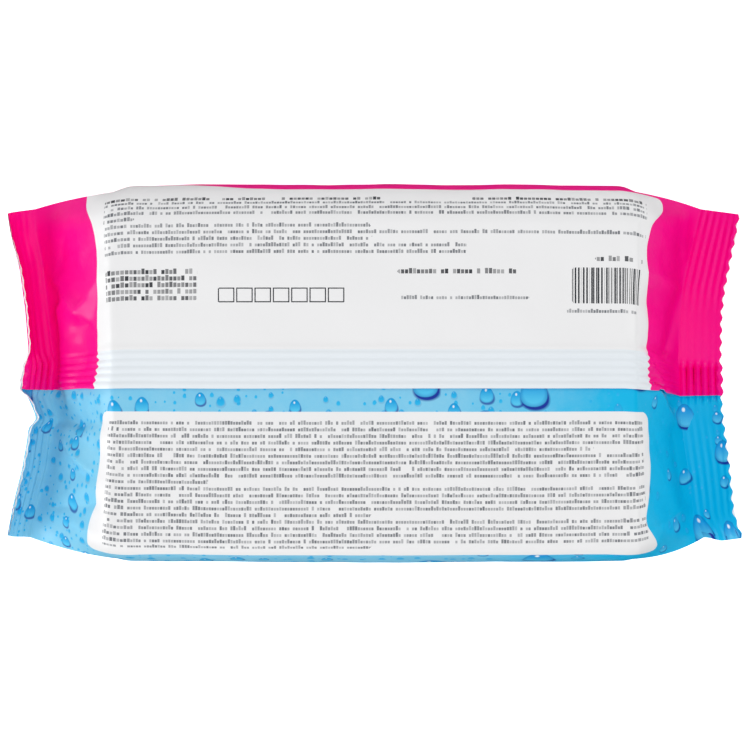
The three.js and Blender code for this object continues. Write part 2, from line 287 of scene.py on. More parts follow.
@dataclass
class Section:
    """The film's way round the filled middle, from the fin's cut edge round to it again.

    Attributes:
        y: Place across the pack.
        z: Height above the table.
        layer: The Layer of each point.
        up: 1 on the upper half and -1 on the lower.
        rise: Share of the way from the fold line to the back or front.
        inward: Share of the way from the fold line to the tip of the tuck.
        spread: Place across the flattened film at the seals, -1 to 1.
        fin: Share of the way from the fin's root to its free edge.
        sheet: Distance across the unrolled sheet.
    """

    y: Array
    z: Array
    layer: Array
    up: Array
    rise: Array
    inward: Array
    spread: Array
    fin: Array
    sheet: Array

    def on(self, *layers: Layer) -> Array:
        """Gives True for the points on any of these layers."""
        return np.isin(self.layer, [layer.value for layer in layers])


@dataclass
class FilmWrap:
    """The printed film with its stack inside, as one closed skin.

    A grid of points has a row to a place along the pack and a column to a point of the section.
    """

    width: float
    height: float = 54.0
    flat_half_length: float = 71.0
    back_swell: float = 1.3
    back_slack: Slack = Slack(42.0, 0.32, 3)
    skin_slack: Slack = Slack(17.0, 0.07, 5)
    slack_end: float = 0.86
    bearing_front: float = 0.6
    pink_shoulder: float = 13.0
    blue_shoulder: float = 8.0
    shoulder_fullness: float = 2.1
    slope_rounding: float = 0.5
    edge_hold: float = 0.2
    pink_narrowing: float = 1.4
    side_taper: float = 0.4
    taper_start: float = 40.0
    fold_start: float = 0.05
    flatten_start: float = 0.1
    crease_push: float = 0.8
    push_stop: float = 0.6
    seal_height: float = 26.0
    seal_half_width: float = 49.0
    seal_bow: float = 1.7
    seal_tip_narrowing: float = 2.0
    seal_band: float = 13.0
    root_wave: float = 1.1
    root_wave_run: float = 13.0
    flare_start: float = 30.0
    crimp_pitch: float = 2.1
    crimp_depth: float = 0.75
    crimp_squareness: float = 0.7
    crimp_run_in: float = 0.8
    crimp_unevenness: Slack = Slack(12.0, 0.3, 23)
    tooth_pitch: float = 3.8
    tooth_depth: float = 0.8
    tooth_bluntness: float = 0.6
    tooth_zone: float = 0.8
    pressed_half_thickness: float = 0.22
    pressed_mouth: float = 0.4
    tuck_depth: float = 27.0
    tuck_mouth: float = 15.0
    tuck_fullness: float = 0.85
    fin_root: float = 6.6
    fin_width: float = 11.0
    fin_thickness: float = 0.42
    fin_edge_lift: float = 0.75
    fin_crimp_pitch: float = 2.1
    fin_crimp_depth: float = 0.3
    fin_pressing: float = 6.0
    fin_flutter: Slack = Slack(38.0, 0.3, 31)
    fin_edge_pressing: float = 0.75
    fin_crimp_pressing: float = 0.8
    film_gap: float = 0.06
    under_lift: float = 0.8
    hump_share: float = 0.8
    hump_reach: float = 1.4
    sag_reach: float = 24.0
    sag_onset: float = 1.5
    cut_edge_width: float = 0.1
    sharp_angle: float = 50.0
    ends: tuple[PackEnd, PackEnd] = (RIGHT_END, LEFT_END)
    name: str = "film_wrap"
    section: Section = field(init=False)

    @property
    def middle(self) -> float:
        """Height of the middle of the stack."""
        return self.height / 2

    @property
    def half_width(self) -> float:
        """Half of the pack's width."""
        return self.width / 2

    def side_y(self, z: Array, shoulder: float) -> Array:
        """Gives the outer half width at a height, for a side with that shoulder."""
        rise = np.clip(np.abs(z - self.middle) / self.middle, 0.0, 1.0)
        power = self.shoulder_fullness
        bulge = (1 - rise**power) ** (1 / power)
        return self.half_width - shoulder + shoulder * bulge

    def shoulder_run(self, shoulder: float, count: int) -> tuple[Array, Array]:
        """Gives a shoulder's points, from the back face down to the fold line.

        Args:
            shoulder: How far in the flat of the back ends.
            count: Number of steps.

        Returns:
            The y and z of each point, ends included.
        """
        fold = self.middle + self.tuck_mouth
        turn = np.linspace(0, 1, count + 1)
        z = lerp(self.height, fold, 1 - np.cos(turn * math.pi / 2))
        return self.side_y(z, shoulder), z

    def make_section(self) -> Section:
        """Lays out the film's way round the pack, with an entry to a column of the grid."""
        top, mid, mouth = self.height, self.middle, self.tuck_mouth
        pink_flat = self.half_width - self.pink_shoulder
        blue_flat = self.half_width - self.blue_shoulder
        free_edge = self.fin_root - self.fin_width
        tuck_z = np.linspace(mid + mouth, mid, 13)
        sides = []
        for shoulder, steps in ((self.pink_shoulder, 24), (self.blue_shoulder, 20)):
            y, z = self.shoulder_run(shoulder, steps)
            tuck_y = self.side_y(tuck_z, shoulder)
            upper = [(y, z), (tuck_y, tuck_z)]
            lower = [(tuck_y[::-1], top - tuck_z[::-1]), (y[::-2], top - z[::-2])]
            sides.append(upper + lower)
        pink, blue = sides
        runs = [
            (Layer.FIN_TOP, np.linspace(free_edge, self.fin_root, 31), top),
            (Layer.PINK_SIDE, np.linspace(self.fin_root, pink_flat, 57), top),
            *((Layer.PINK_SIDE, y, z) for y, z in pink),
            (Layer.FRONT, np.linspace(pink_flat, -blue_flat, 65), 0.0),
            *((Layer.BLUE_SIDE, -y[::-1], z[::-1]) for y, z in reversed(blue)),
            (Layer.BLUE_SIDE, np.linspace(-blue_flat, self.fin_root, 85), top),
            (Layer.FIN_UNDER, np.linspace(self.fin_root, free_edge, 13), top),
        ]
        full = [np.broadcast_arrays(layer.value, y, z) for layer, y, z in runs]
        layer, y, z = (
            np.concatenate([run[min(number, 1):] for number, run in enumerate(part)])
            for part in zip(*full)
        )
        away = np.abs(z - mid)
        in_tuck = away <= mouth + TINY
        on_fin = np.isin(layer, (Layer.FIN_TOP.value, Layer.FIN_UNDER.value))
        return Section(
            y=y,
            z=z,
            layer=layer,
            up=np.where(z >= mid, 1.0, -1.0),
            rise=np.where(in_tuck, 0.0, (away - mouth) / (mid - mouth)),
            inward=np.where(in_tuck, 1.0 - away / mouth, 0.0),
            spread=self.fold_distance(y, away, in_tuck),
            fin=np.where(on_fin, (self.fin_root - y) / self.fin_width, 0.0),
            sheet=travel(y, z),
        )

    def fold_distance(self, y: Array, away: Array, in_tuck: Array) -> Array:
        """Gives each point's place across the flattened film, from fold line to fold line.

        Args:
            y: Place across the pack.
            away: Height above or below the stack's middle.
            in_tuck: True for the points of the tucks.

        Returns:
            -1 at the blue fold line, 1 at the pink one, and in step with the film between.
        """
        flat = away > self.middle - TINY
        arc = np.empty_like(y)
        for sign, shoulder in ((1, self.pink_shoulder), (-1, self.blue_shoulder)):
            run_y, run_z = self.shoulder_run(shoulder, 60)
            lengths = travel(run_y, run_z)
            total = run_y[0] + lengths[-1]
            mine = np.sign(y) == sign
            on_run = np.interp(-away, -(run_z - self.middle), run_y[0] + lengths)
            arc[mine] = sign * np.where(flat, np.abs(y), on_run)[mine] / total
        arc[in_tuck] = np.sign(y[in_tuck])
        return np.where(np.abs(y) < TINY, 0.0, arc)

    def stations(self) -> Array:
        """Gives the places along the pack at which the film has a row of points."""
        per_crimp, per_slope, per_flat = 6, 40, 61
        band_rows = round(self.seal_band / self.crimp_pitch) * per_crimp
        band = np.linspace(0, self.seal_band, band_rows + 1)[1:]
        band = np.insert(band, -1, self.seal_band - self.cut_edge_width)
        right, left = (
            np.concatenate([np.linspace(0, end.span, per_slope)[1:], end.span + band])
            for end in self.ends
        )
        middle = np.linspace(-self.flat_half_length, self.flat_half_length, per_flat)
        return np.concatenate(
            [-self.flat_half_length - left[::-1], middle, self.flat_half_length + right]
        )

    def bow_share(self, y: Array) -> Array:
        """Gives how far the seal's corners lie out beyond its middle, 0 to 1."""
        return (np.abs(y) / self.seal_half_width) ** self.seal_bow

    def root_height(self, end: PackEnd, y: Array) -> Array:
        """Gives the height of the seal's root, which rises and falls along it."""
        wave = self.root_wave * end.side * np.sin(y / self.root_wave_run + end.side)
        return self.seal_height + wave * (1 - self.bow_share(y) / 2)

    def half_width_at(self, end: PackEnd, share: Array) -> Array:
        """Gives the half width on each point's side, at shares of one end's slope."""
        delay = np.where(self.section.y > 0, self.pink_narrowing, end.blue_narrowing)
        start = self.half_width - self.side_taper
        return lerp(start, self.seal_half_width, share**delay)

    def drop_at(self, share: Array) -> Array:
        """Gives how far the film has come down at a share of the slope, 0 to 1."""
        ramp = np.clip((share - self.edge_hold) / (1 - self.edge_hold), 0.0, 1.0)
        return lerp(ramp, smoothstep(ramp, 0.0, 1.0), self.slope_rounding)

    def pressed_offset(self, share: Array) -> Array:
        """Gives a point's height above the middle of the closing film.

        Args:
            share: How far along the slope the row is, 1 at the seal.

        Returns:
            A grid of offsets.
        """
        sec = self.section
        t = share[:, None]
        thin = self.pressed_half_thickness
        mouth = lerp(self.tuck_mouth, self.pressed_mouth * thin, smoothstep(t, 0.0, 1.0))
        height = np.maximum(lerp(self.middle, thin, self.drop_at(t)), mouth)
        outer = mouth + (height - mouth) * sec.rise
        return sec.up * np.where(sec.inward > 0, mouth * (1 - sec.inward), outer)

    def across_at(self, end: PackEnd, share: Array) -> Array:
        """Gives the y of each point of the section at shares of one end's slope."""
        sec = self.section
        t = share[:, None]
        flatness = smoothstep(t, self.flatten_start, 1.0)
        place = lerp(sec.y / self.half_width, sec.spread, flatness)
        tucked = smoothstep(t, self.fold_start, 1.0)
        depth = self.tuck_depth * tucked * sec.inward**self.tuck_fullness
        y = place * self.half_width_at(end, t) - np.sign(sec.y) * depth
        pull = end.fin_sag * t**self.sag_onset * np.exp(-((y / self.sag_reach) ** 2))
        return y - np.where((sec.up > 0) & (sec.inward == 0), pull, 0.0)

    def slope_rows(self, end: PackEnd, share: Array) -> Array:
        """Forms the film between the stack and one seal.

        Args:
            end: The end of the pack.
            share: Shares of the slope, 0 at the stack and 1 at the seal.

        Returns:
            A grid of points.
        """
        sec = self.section
        t = share[:, None]
        y = self.across_at(end, share)
        offset = self.pressed_offset(share)
        reach = self.flat_half_length + end.at("reach", y) * t
        centre = lerp(self.middle, self.root_height(end, y), self.drop_at(t))
        folds = sum(crease.lift(reach, sec.up * y) for crease in end.creases)
        folds = folds + sum(slack.lift(reach, y) for slack in end.slack)
        free = np.clip((t - self.fold_start) / (1 - self.fold_start), 0, 1)
        folds = folds * np.sin(math.pi * free) * sec.rise
        z = centre + offset + sec.up * folds
        push = folds * smoothstep(t, self.flatten_start, self.push_stop) * self.crease_push
        return np.stack([end.side * (reach + push), y, z], axis=-1)

    def crimp(self, distance: Array) -> Array:
        """Gives the seal's crimp wave, -1 in a valley and 1 on a ridge."""
        count = round(self.seal_band / self.crimp_pitch)
        phase = np.clip(distance / self.seal_band, 0, 1) * count
        wave = -np.cos(2 * math.pi * phase)
        squared = np.sign(wave) * np.abs(wave) ** self.crimp_squareness
        return squared * smoothstep(distance, 0.0, self.crimp_run_in)

    def saw(self, y: Array) -> Array:
        """Gives the cut's distance back from the tips of its slightly blunt teeth, 0 to 1."""
        straight = 2 * np.abs((y / self.tooth_pitch) % 1.0 - 0.5)
        return lerp(straight, smoothstep(straight, 0.0, 1.0), self.tooth_bluntness)

    def seal_rows(self, end: PackEnd, distance: Array) -> Array:
        """Forms one end's crimped seal, at some distances from its root."""
        sec = self.section
        share = np.ones_like(distance)
        y = self.across_at(end, share)
        tip = smoothstep(distance[:, None], self.tooth_zone * self.seal_band, self.seal_band)
        out = distance[:, None] - self.tooth_depth * self.saw(y) * tip
        start = np.radians(end.at("lean", y))
        radius = self.seal_band / np.radians(end.at("curl", y))
        angle = start + out / radius
        run = (np.sin(angle) - np.sin(start)) * radius
        climb = (np.cos(start) - np.cos(angle)) * radius
        narrowing = 1 - self.seal_tip_narrowing / self.seal_half_width * out / self.seal_band
        flare = smoothstep(out, 0.0, self.seal_band / 2)
        flare = flare * smoothstep(-y, self.flare_start, self.seal_half_width)
        reach = self.flat_half_length + end.at("reach", y) + run
        depth = self.crimp_depth * end.at("crimp", y) * (1 + self.crimp_unevenness.lift(out, y))
        lift = self.crimp(distance)[:, None] * depth / 2 + self.pressed_offset(share)
        x = end.side * (reach - np.sin(angle) * lift)
        z = self.root_height(end, y) + climb + np.cos(angle) * lift
        return np.stack([x, y * narrowing - end.blue_flare * flare, z], axis=-1)

    def middle_rows(self, places: Array) -> Array:
        """Forms the film over the flat of the stack, at some places along it."""
        sec = self.section
        x = places[:, None]
        across = np.maximum(0, 1 - (sec.y / self.half_width) ** 2)
        along = 1 - (x / self.flat_half_length) ** 2
        on_back = np.where(sec.up > 0, sec.rise, 0.0)
        swell = self.back_swell * on_back * across * along
        slack_end = self.slack_end * self.flat_half_length
        inside = 1 - smoothstep(np.abs(x), slack_end, self.flat_half_length)
        slack = self.back_slack.lift(x, sec.y) + self.skin_slack.lift(x, sec.y + sec.z)
        on_front = (sec.up < 0) & (sec.rise > self.bearing_front)
        slack = np.where(on_front, 0.0, slack) * inside
        side = (1 - sec.rise) * np.sign(sec.y)
        taper = self.side_taper * smoothstep(np.abs(x), self.taper_start, self.flat_half_length)
        y = sec.y * (1 - taper / self.half_width) + slack * side
        z = sec.z + swell + slack * on_back
        return np.stack([np.broadcast_to(x, z.shape), y, z], axis=-1)

    def formed_rows(self, places: Array) -> Array:
        """Forms the film at rising places along the pack, without the fin's thickness."""
        blocks = [self.middle_rows(places[np.abs(places) <= self.flat_half_length])]
        for end in self.ends:
            far = end.side * places[end.side * places > 0] - self.flat_half_length
            slope = self.slope_rows(end, far[(far > 0) & (far <= end.span)] / end.span)
            seal = self.seal_rows(end, far[far > end.span] - end.span)
            blocks = [*blocks, slope, seal] if end.side > 0 else [seal, slope, *blocks]
        return np.concatenate(blocks)

    def fin_lift(self, places: Array) -> Array:
        """Gives how far each point of the fin stands off the back film."""
        sec = self.section
        span = np.where(places > 0, self.ends[0].span, self.ends[1].span)
        far = np.abs(places) - self.flat_half_length - span
        pressed = smoothstep(far, -self.fin_pressing, 1.0)[:, None]
        crimps = round(self.fin_width / self.fin_crimp_pitch)
        groove = (0.5 + 0.5 * np.cos(2 * math.pi * crimps * sec.fin)) ** 2
        flutter = self.fin_flutter.lift(places[:, None], 0 * sec.fin) * (1 - pressed)
        edge_lift = (self.fin_edge_lift + flutter) * sec.fin**2
        edge_lift = edge_lift * (1 - self.fin_edge_pressing * pressed)
        crimp_depth = self.fin_crimp_depth * (1 - self.fin_crimp_pressing * pressed)
        top = self.fin_thickness + edge_lift - groove * crimp_depth
        under = self.film_gap + self.under_lift * edge_lift
        past_root = np.maximum(0.0, sec.y - self.fin_root)
        fade = np.exp(-((past_root / self.hump_reach) ** 2))
        hump = self.hump_share * self.fin_thickness * fade
        on_pink_back = sec.on(Layer.PINK_SIDE) & (sec.up > 0) & (sec.inward == 0)
        choices = [sec.on(Layer.FIN_TOP), sec.on(Layer.FIN_UNDER), on_pink_back]
        return np.select(choices, [top, under, np.broadcast_to(hump, top.shape)], 0.0)

    def outward(self, points: Array) -> Array:
        """Gives the way out of the film at each point. The fin's is that of the film under it."""
        sec = self.section
        cross = np.cross(np.gradient(points, axis=0), np.gradient(points, axis=1))
        normal = cross / np.maximum(np.linalg.norm(cross, axis=-1, keepdims=True), TINY)
        top = np.flatnonzero(sec.on(Layer.FIN_TOP))
        inner = top[2:-2]
        for column in (*top[:2], *top[-2:], *np.flatnonzero(sec.on(Layer.FIN_UNDER))):
            nearest = inner[np.argmin(np.abs(sec.y[inner] - sec.y[column]))]
            normal[:, column] = normal[:, nearest]
        return normal

    def form(self, places: Array) -> Array:
        """Forms the whole film, fin included, and sets it down on the table."""
        points = self.formed_rows(places)
        points = points + self.outward(points) * self.fin_lift(places)[..., None]
        low, high = points.min(axis=(0, 1)), points.max(axis=(0, 1))
        middle = (low + high) / 2
        return points - np.array([middle[0], middle[1], low[2]])

    def cap_chains(self) -> list[tuple[list[int], list[int]]]:
        """Pairs the chains of columns between which a cut end of the film is closed.

        Returns:
            Pairs of chains that run side by side from the pink to the blue side. The film is
            pressed flat on its tucks, and on itself between the tips of the tucks.
        """
        sec = self.section
        order = np.arange(len(sec.y))
        across = self.across_at(self.ends[0], np.ones(1))[0]
        root_top = int(order[sec.on(Layer.FIN_TOP)][-1])
        root_under = int(order[sec.on(Layer.FIN_UNDER)][0]) - 1
        pink = order[(sec.inward > 0) & (sec.y > 0)]
        blue = order[(sec.inward > 0) & (sec.y < 0)]
        pink_tip, blue_tip = (int(side[np.argmax(sec.inward[side])]) for side in (pink, blue))
        back = [*range(pink[0] - 1, root_top - 1, -1), *range(root_under, blue[-1], -1)]
        front = [*range(pink[-1] + 1, blue[0])]
        halves = (
            (back, range(pink[0] - 1, pink_tip + 1), range(blue_tip, blue[-1] + 2)),
            (front, range(pink[-1] + 1, pink_tip - 1, -1), range(blue_tip, blue[0] - 2, -1)),
        )
        chains = [([*range(root_top, -1, -1)], [*range(root_under, len(order))])]
        between = []
        for film, to_pink_tip, from_blue_tip in halves:
            first, last = (
                next(i for i, column in enumerate(film) if across[column] <= across[tip])
                for tip in (pink_tip, blue_tip)
            )
            chains += [(film[: first + 1], [*to_pink_tip]), (film[last:], [*from_blue_tip])]
            between.append([pink_tip, *film[first : last + 1], blue_tip])
        return [*chains, tuple(between)]

    def stitch(self, near: list[int], far: list[int]) -> list[tuple[int, int, int]]:
        """Joins two chains of columns by triangles, in step across the pack."""
        across = self.across_at(self.ends[0], np.ones(1))[0]
        triangles = []
        i = j = 0
        while i < len(near) - 1 or j < len(far) - 1:
            far_is_done = j == len(far) - 1
            near_is_done = i == len(near) - 1
            near_is_behind = not near_is_done and not far_is_done and (
                across[near[i + 1]] >= across[far[j + 1]]
            )
            if far_is_done or near_is_behind:
                corners = (near[i], near[i + 1], far[j])
                i += 1
            else:
                corners = (near[i], far[j + 1], far[j])
                j += 1
            if len(set(corners)) == len(corners):
                triangles.append(corners)
        return triangles

    def build(self) -> bpy.types.Object:
        """Makes the film's object from a flat sheet."""
        self.section = self.make_section()
        places = self.stations()
        rows, columns = len(places), len(self.section.y)
        bpy.ops.object.select_all(action="DESELECT")
        bpy.ops.mesh.primitive_grid_add(x_subdivisions=rows - 1, y_subdivisions=columns - 1, size=1)
        film = bpy.context.object
        film.name = film.data.name = self.name
        mesh = film.data
        flat = np.empty(len(mesh.vertices) * 3)
        mesh.vertices.foreach_get("co", flat)
        flat = flat.reshape(-1, 3)
        row = np.rint((flat[:, 0] + 0.5) * (rows - 1)).astype(int)
        column = np.rint((flat[:, 1] + 0.5) * (columns - 1)).astype(int)
        points = self.form(places)
        mesh.vertices.foreach_set("co", (points[row, column] * MM).ravel())
        self.lay_out_print(mesh, places, points, row, column)
        self.close_film(mesh, row, column)
        bpy.ops.object.mode_set(mode="EDIT")
        bpy.ops.mesh.select_all(action="SELECT")
        bpy.ops.mesh.remove_doubles(threshold=1e-7)
        bpy.ops.mesh.normals_make_consistent(inside=False)
        bpy.ops.object.mode_set(mode="OBJECT")
        bpy.ops.object.shade_smooth_by_angle(angle=math.radians(self.sharp_angle))
        log.info("%s: %d faces", self.name, len(mesh.polygons))
        return film

    def close_film(self, mesh: bpy.types.Mesh, row: Array, column: Array) -> None:
        """Closes the fin's free edge and the cut ends of the two seals.

        Args:
            mesh: The film's mesh.
            row: Row of each vertex in the grid.
            column: Column of each vertex.
        """
        number = np.empty((row.max() + 1, column.max() + 1), dtype=int)
        number[row, column] = np.arange(len(row))
        work = bmesh.new()
        work.from_mesh(mesh)
        work.verts.ensure_lookup_table()
        cut = work.verts.layers.float.new("cut_edge")
        caps = [corners for pair in self.cap_chains() for corners in self.stitch(*pair)]
        faces = [number[end, list(corners)] for end in (0, -1) for corners in caps]
        for vertex in number[[0, -1]].ravel():
            work.verts[vertex][cut] = 1.0
        top, under = number[:, 0], number[:, -1]
        faces += list(np.stack([top[:-1], top[1:], under[1:], under[:-1]], axis=-1))
        for corners in faces:
            work.faces.new([work.verts[vertex] for vertex in corners])
        work.to_mesh(mesh)
        work.free()

    def lay_out_print(
        self, mesh: bpy.types.Mesh, places: Array, points: Array, row: Array, column: Array
    ) -> None:
        """Gives the film its sheet coordinates and the outlines of its printed fields.

        Args:
            mesh: The film's mesh.
            places: Places along the pack.
            points: The formed points.
            row: Row of each vertex.
            column: Column of each vertex.
        """
        sec = self.section
        blue_back = np.flatnonzero(sec.on(Layer.BLUE_SIDE) & (sec.up > 0))
        centre_line = points[:, blue_back[np.argmin(np.abs(sec.y[blue_back]))]]
        along = travel(*centre_line.T)
        along -= np.interp(0.0, places, along)
        root_top = np.flatnonzero(sec.on(Layer.FIN_TOP))[-1]
        root_under = np.flatnonzero(sec.on(Layer.FIN_UNDER))[0] - 1
        on_pink = sec.on(Layer.FIN_TOP, Layer.PINK_SIDE, Layer.FRONT)
        root_sheet = np.where(on_pink, sec.sheet[root_top], sec.sheet[root_under])
        across = sec.sheet - root_sheet + self.fin_root
        print_plan = PrintPlan(fin_root=self.fin_root, fin_crimp_pitch=self.fin_crimp_pitch)
        fields = print_plan.fields(along[:, None], across[None, :], on_pink[None, :], sec)
        for key, values in fields.items():
            layer = mesh.attributes.new(key, "FLOAT", "POINT")
            layer.data.foreach_set("value", values[row, column].astype(np.float32).ravel())
        uv = mesh.uv_layers.active or mesh.uv_layers.new()
        uv.name = "sheet"
        vertex = np.empty(len(mesh.loops), dtype=int)
        mesh.loops.foreach_get("vertex_index", vertex)
        coords = np.stack([along[row[vertex]], across[column[vertex]]], axis=-1) * MM
        uv.data.foreach_set("uv", coords.ravel())


@dataclass(frozen=True)
class Block:
    """A rectangle of the print, in millimetres along and across the sheet."""

    left: float
    right: float
    low: float
    high: float

    def inside(self, u: Array, w: Array, radius: float = 0.0) -> Array:
        """Gives the distance inside the rectangle's edge, less than 0 outside."""
        du = np.abs(u - (self.left + self.right) / 2) - (self.right - self.left) / 2 + radius
        dw = np.abs(w - (self.low + self.high) / 2) - (self.high - self.low) / 2 + radius
        outer = np.hypot(np.maximum(du, 0), np.maximum(dw, 0))
        return radius - outer - np.minimum(np.maximum(du, dw), 0)


@dataclass(frozen=True)
class PanelEdge:
    """How far one end of a white panel runs out, from its plain straight edge.

    Attributes:
        flare: Extra length at the panel's outer corner.
        start: Distance from the back's centre line where the flare starts.
        stop: Distance where it is full.
        dent: How far the edge is pulled in by the slack film between the creases.
        dent_at: Where it is pulled in most.
        dent_reach: Distance over which the dent fades.
    """

    flare: float
    start: float
    stop: float
    dent: float
    dent_at: float
    dent_reach: float

    def run_out(self, w: Array) -> Array:
        """Gives the extra length of the panel at each distance from the centre line."""
        dent = self.dent * np.exp(-(((w - self.dent_at) / self.dent_reach) ** 2))
        return self.flare * smoothstep(w, self.start, self.stop) - dent


Rows = tuple[tuple[float, float, int, int], ...]


@dataclass(frozen=True)
class PrintPlan:
    """Where the film's colours and rows of print lie on the sheet, in millimetres.

    Rows of print are given by their left and right ends, the lowest row's number and how many
    there are.
    """

    fin_root: float
    fin_crimp_pitch: float
    upper_panel: Block = Block(-82.8, 81.3, -20.0, 59.0)
    lower_panel: Block = Block(-81.3, 81.0, -54.9, -11.1)
    upper_edges: tuple[PanelEdge, PanelEdge] = (
        PanelEdge(flare=3.4, start=42.0, stop=56.0, dent=2.1, dent_at=32.0, dent_reach=16.0),
        PanelEdge(flare=5.0, start=44.0, stop=54.0, dent=2.8, dent_at=37.0, dent_reach=10.0),
    )
    lower_edges: tuple[PanelEdge, PanelEdge] = (
        PanelEdge(flare=2.4, start=38.0, stop=47.0, dent=0.5, dent_at=20.0, dent_reach=10.0),
        PanelEdge(flare=1.4, start=45.0, stop=51.0, dent=3.4, dent_at=44.0, dent_reach=8.0),
    )
    left_rise: float = 10.0
    rise_along: tuple[float, float] = (25.0, 72.0)
    rise_across: tuple[float, float] = (45.0, 59.0)
    lower_fall: float = 1.6
    fall_along: tuple[float, float] = (62.0, 80.0)
    fall_across: tuple[float, float] = (40.0, 54.0)
    corner_radius: float = 3.0
    zigzag: float = 0.55
    front_border: float = -4.0
    row: float = 1.9
    outside: float = -5.0
    stripes: Block = Block(56.4, 76.2, 20.2, 30.6)
    frames: Block = Block(-45.8, -8.9, 20.2, 24.8)
    frame_count: int = 7
    fine_rows: Rows = (
        (-77.5, 77.5, -11, 4), (-77.5, 62.0, -12, 1), (-77.5, 77.5, -16, 4),
        (-77.5, -48.0, -17, 1), (-77.5, 77.5, -21, 4), (-77.5, -2.0, -22, 1),
        (-77.5, 77.5, -26, 4), (-77.5, -2.0, -27, 1), (-77.5, 77.5, 24, 3),
        (-77.5, -70.0, 23, 1), (-77.5, -2.0, 22, 1), (-77.5, 77.5, 21, 1),
        (-77.5, -2.0, 20, 1), (-77.5, 26.0, 18, 2), (6.3, 44.5, 11, 1), (54.6, 75.0, 9, 1),
    )
    bold_rows: Rows = (
        (-77.5, 4.0, 27, 1), (27.5, 77.5, 27, 1), (-77.5, -51.5, 11, 5),
        (5.8, 40.4, 15, 1), (63.0, 76.5, 17, 1),
    )

    def inside_rows(self, rows: Rows, u: Array, w: Array) -> Array:
        """Gives the distance inside the nearest of some rows of print."""
        blocks = (
            Block(left, right, lowest * self.row, (lowest + count) * self.row)
            for left, right, lowest, count in rows
        )
        return np.max([block.inside(u, w) for block in blocks], axis=0)

    def panel(
        self,
        plain: Block,
        edges: tuple[PanelEdge, PanelEdge],
        u: Array,
        w: Array,
        rise: Array | float = 0.0,
    ) -> Array:
        """Gives the distance inside a white panel whose two ends are flared and dented.

        Args:
            plain: The panel with straight edges.
            edges: Its left and right ends.
            u: Distance along the sheet from the pack's middle.
            w: Distance across the sheet from the back's centre line.
            rise: How far its outer edge runs on over the pack's side.

        Returns:
            Distances in millimetres, more than 0 inside.
        """
        left, right = (edge.run_out(np.abs(w)) for edge in edges)
        return plain.inside(u + np.where(u < 0, left, -right), w - rise, self.corner_radius)

    def fields(self, u: Array, w: Array, on_pink: Array, sec: Section) -> dict[str, Array]:
        """Works out each printed field as a distance inside its outline.

        Args:
            u: Distance along the sheet from the pack's middle.
            w: Distance across the sheet from the back's centre line.
            on_pink: True on the pink side of the sheet.
            sec: The film's section.

        Returns:
            Distances in millimetres by the name of the field, more than 0 inside it.
        """
        zigzag = np.abs(((w - self.fin_root) / self.fin_crimp_pitch) % 1.0 - 0.5) * 4 - 1
        sawn = u + np.sign(u) * zigzag * np.where(w < self.fin_root, self.zigzag, 0.0)
        rise = self.left_rise * smoothstep(-u, *self.rise_along) * smoothstep(w, *self.rise_across)
        upper = self.panel(self.upper_panel, self.upper_edges, sawn, w, rise)
        fall = self.lower_fall * smoothstep(np.abs(u), *self.fall_along)
        fall = fall * smoothstep(-w, *self.fall_across)
        lower = self.panel(self.lower_panel, self.lower_edges, u, w, -fall)
        pink = np.where(sec.on(Layer.FIN_TOP, Layer.PINK_SIDE), -self.outside, self.outside)
        pink = np.where(sec.on(Layer.FRONT), sec.y - self.front_border, pink)
        on_fin = np.where(sec.on(Layer.FIN_TOP), -self.outside, self.outside)
        on_back = {
            "fin_mm": np.broadcast_to(on_fin, upper.shape),
            "white_mm": np.where(on_pink, upper, lower),
            "fine_mm": self.inside_rows(self.fine_rows, u, w),
            "bold_mm": self.inside_rows(self.bold_rows, u, w),
            "stripes_mm": self.stripes.inside(u, w),
            "frames_mm": self.frames.inside(u, w),
        }
        fields = {key: np.where(sec.up > 0, far, self.outside) for key, far in on_back.items()}
        return {**fields, "pink_mm": np.broadcast_to(pink, fields["white_mm"].shape)}


Node = bpy.types.Node
Link = Node | bpy.types.NodeSocket | float | tuple | str


class NodeGraph:
    """A new material, and the one way in which nodes are added to it."""

    def __init__(self, name: str) -> None:
        """Makes the material, with no nodes yet."""
        self.material = bpy.data.materials.new(name)
        self.material.use_nodes = True
        self.tree = self.material.node_tree
        self.tree.nodes.clear()

    def add(self, kind: str, *values: Link, **settings: object) -> Node:
        """Adds a node, sets it and links its inputs.

        Args:
            kind: The node's Blender type, without the ShaderNode before it. Its operation or
                data type can follow after a colon.
            *values: Its inputs in order. A node stands for the first output that it uses, and
                a hex code for its colour.
            **settings: The node's own settings, or its inputs by name with in_ before the name.

        Returns:
            The new node.
        """
        kind, _, mode = kind.partition(":")
        node = self.tree.nodes.new("ShaderNode" + kind)
        if mode:
            setattr(node, "data_type" if kind == "Mix" else "operation", mode)
        named = {key[3:]: value for key, value in settings.items() if key.startswith("in_")}
        for key, value in settings.items():
            if not key.startswith("in_"):
                setattr(node, key, value)
        used = [socket for socket in node.inputs if socket.enabled]
        by_name = {socket.name.replace(" ", "_").lower(): socket for socket in used}
        pairs = [*zip(used, values), *((by_name[key], value) for key, value in named.items())]
        for socket, value in pairs:
            if isinstance(value, Node):
                value = next(output for output in value.outputs if output.enabled)
            if isinstance(value, bpy.types.NodeSocket):
                self.tree.links.new(value, socket)
            else:
                socket.default_value = linear(value) if isinstance(value, str) else value
        return node


@dataclass(frozen=True)
class DropSize:
    """One size of printed water drop.

    Attributes:
        spacing: Distance between the places of drops, in millimetres.
        left_share: Share of the places that hold a drop at the left end.
        right_share: The same at the right end.
        smallest: Radius of the smallest drop, as a share of the spacing.
        relief: Strength of a drop's shade and glint: 0 is a flat spot and 1 a full bead.
        top: Colour of the drop's upper part.
        bottom: Colour of its lower part.
    """

    spacing: float
    left_share: float
    right_share: float
    smallest: float
    relief: float
    top: str
    bottom: str


